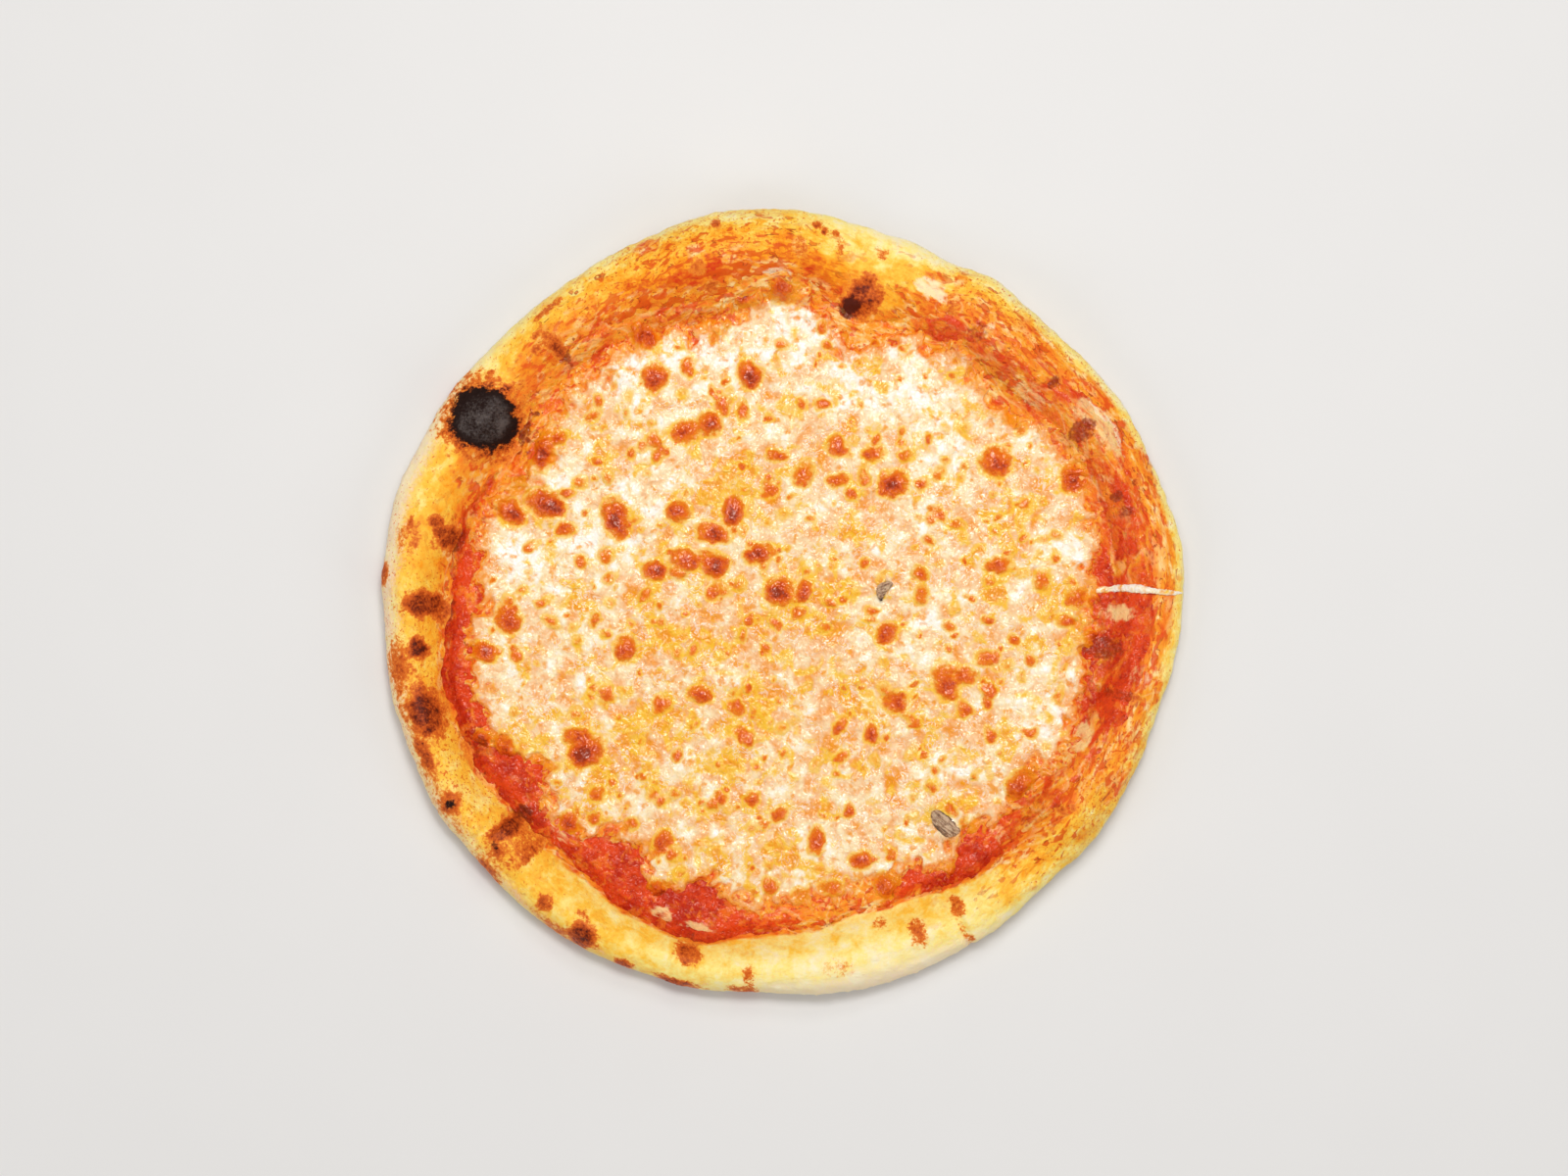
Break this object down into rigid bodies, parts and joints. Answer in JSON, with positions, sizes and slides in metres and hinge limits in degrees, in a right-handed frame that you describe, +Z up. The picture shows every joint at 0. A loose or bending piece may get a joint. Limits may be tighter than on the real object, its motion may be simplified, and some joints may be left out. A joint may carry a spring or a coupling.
{
  "type": "pizza",
  "caption": "Round baked pizza lying flat: a puffed, browned crust rim around tomato sauce and melted cheese with browned bubbles and bits of mushroom.",
  "frame": {"origin": "on the surface the pizza rests on, under the middle of the crust's outline", "axes": "+Z up out of the topping; +X to the right and +Y away from the viewer as seen in the picture from above"},
  "size_m": [0.303, 0.2956, 0.0242],
  "materials": {
    "baked_dough": "baked wheat dough, golden with brown and charred spots, dull and floury outside",
    "tomato_sauce": "wet pulpy tomato sauce, glossy",
    "melted_cheese": "melted cheese, oily and softly glossy, mottled cream and gold with browned bubbles",
    "mushroom": "cooked mushroom, grey-brown, moist"
  },
  "bodies": {
    "root": {"crust": "baked_dough", "tomato_sauce": "tomato_sauce", "melted_cheese": "melted_cheese", "mushroom_slice": "mushroom", "mushroom_scrap": "mushroom"}
  },
  "joints": []
}
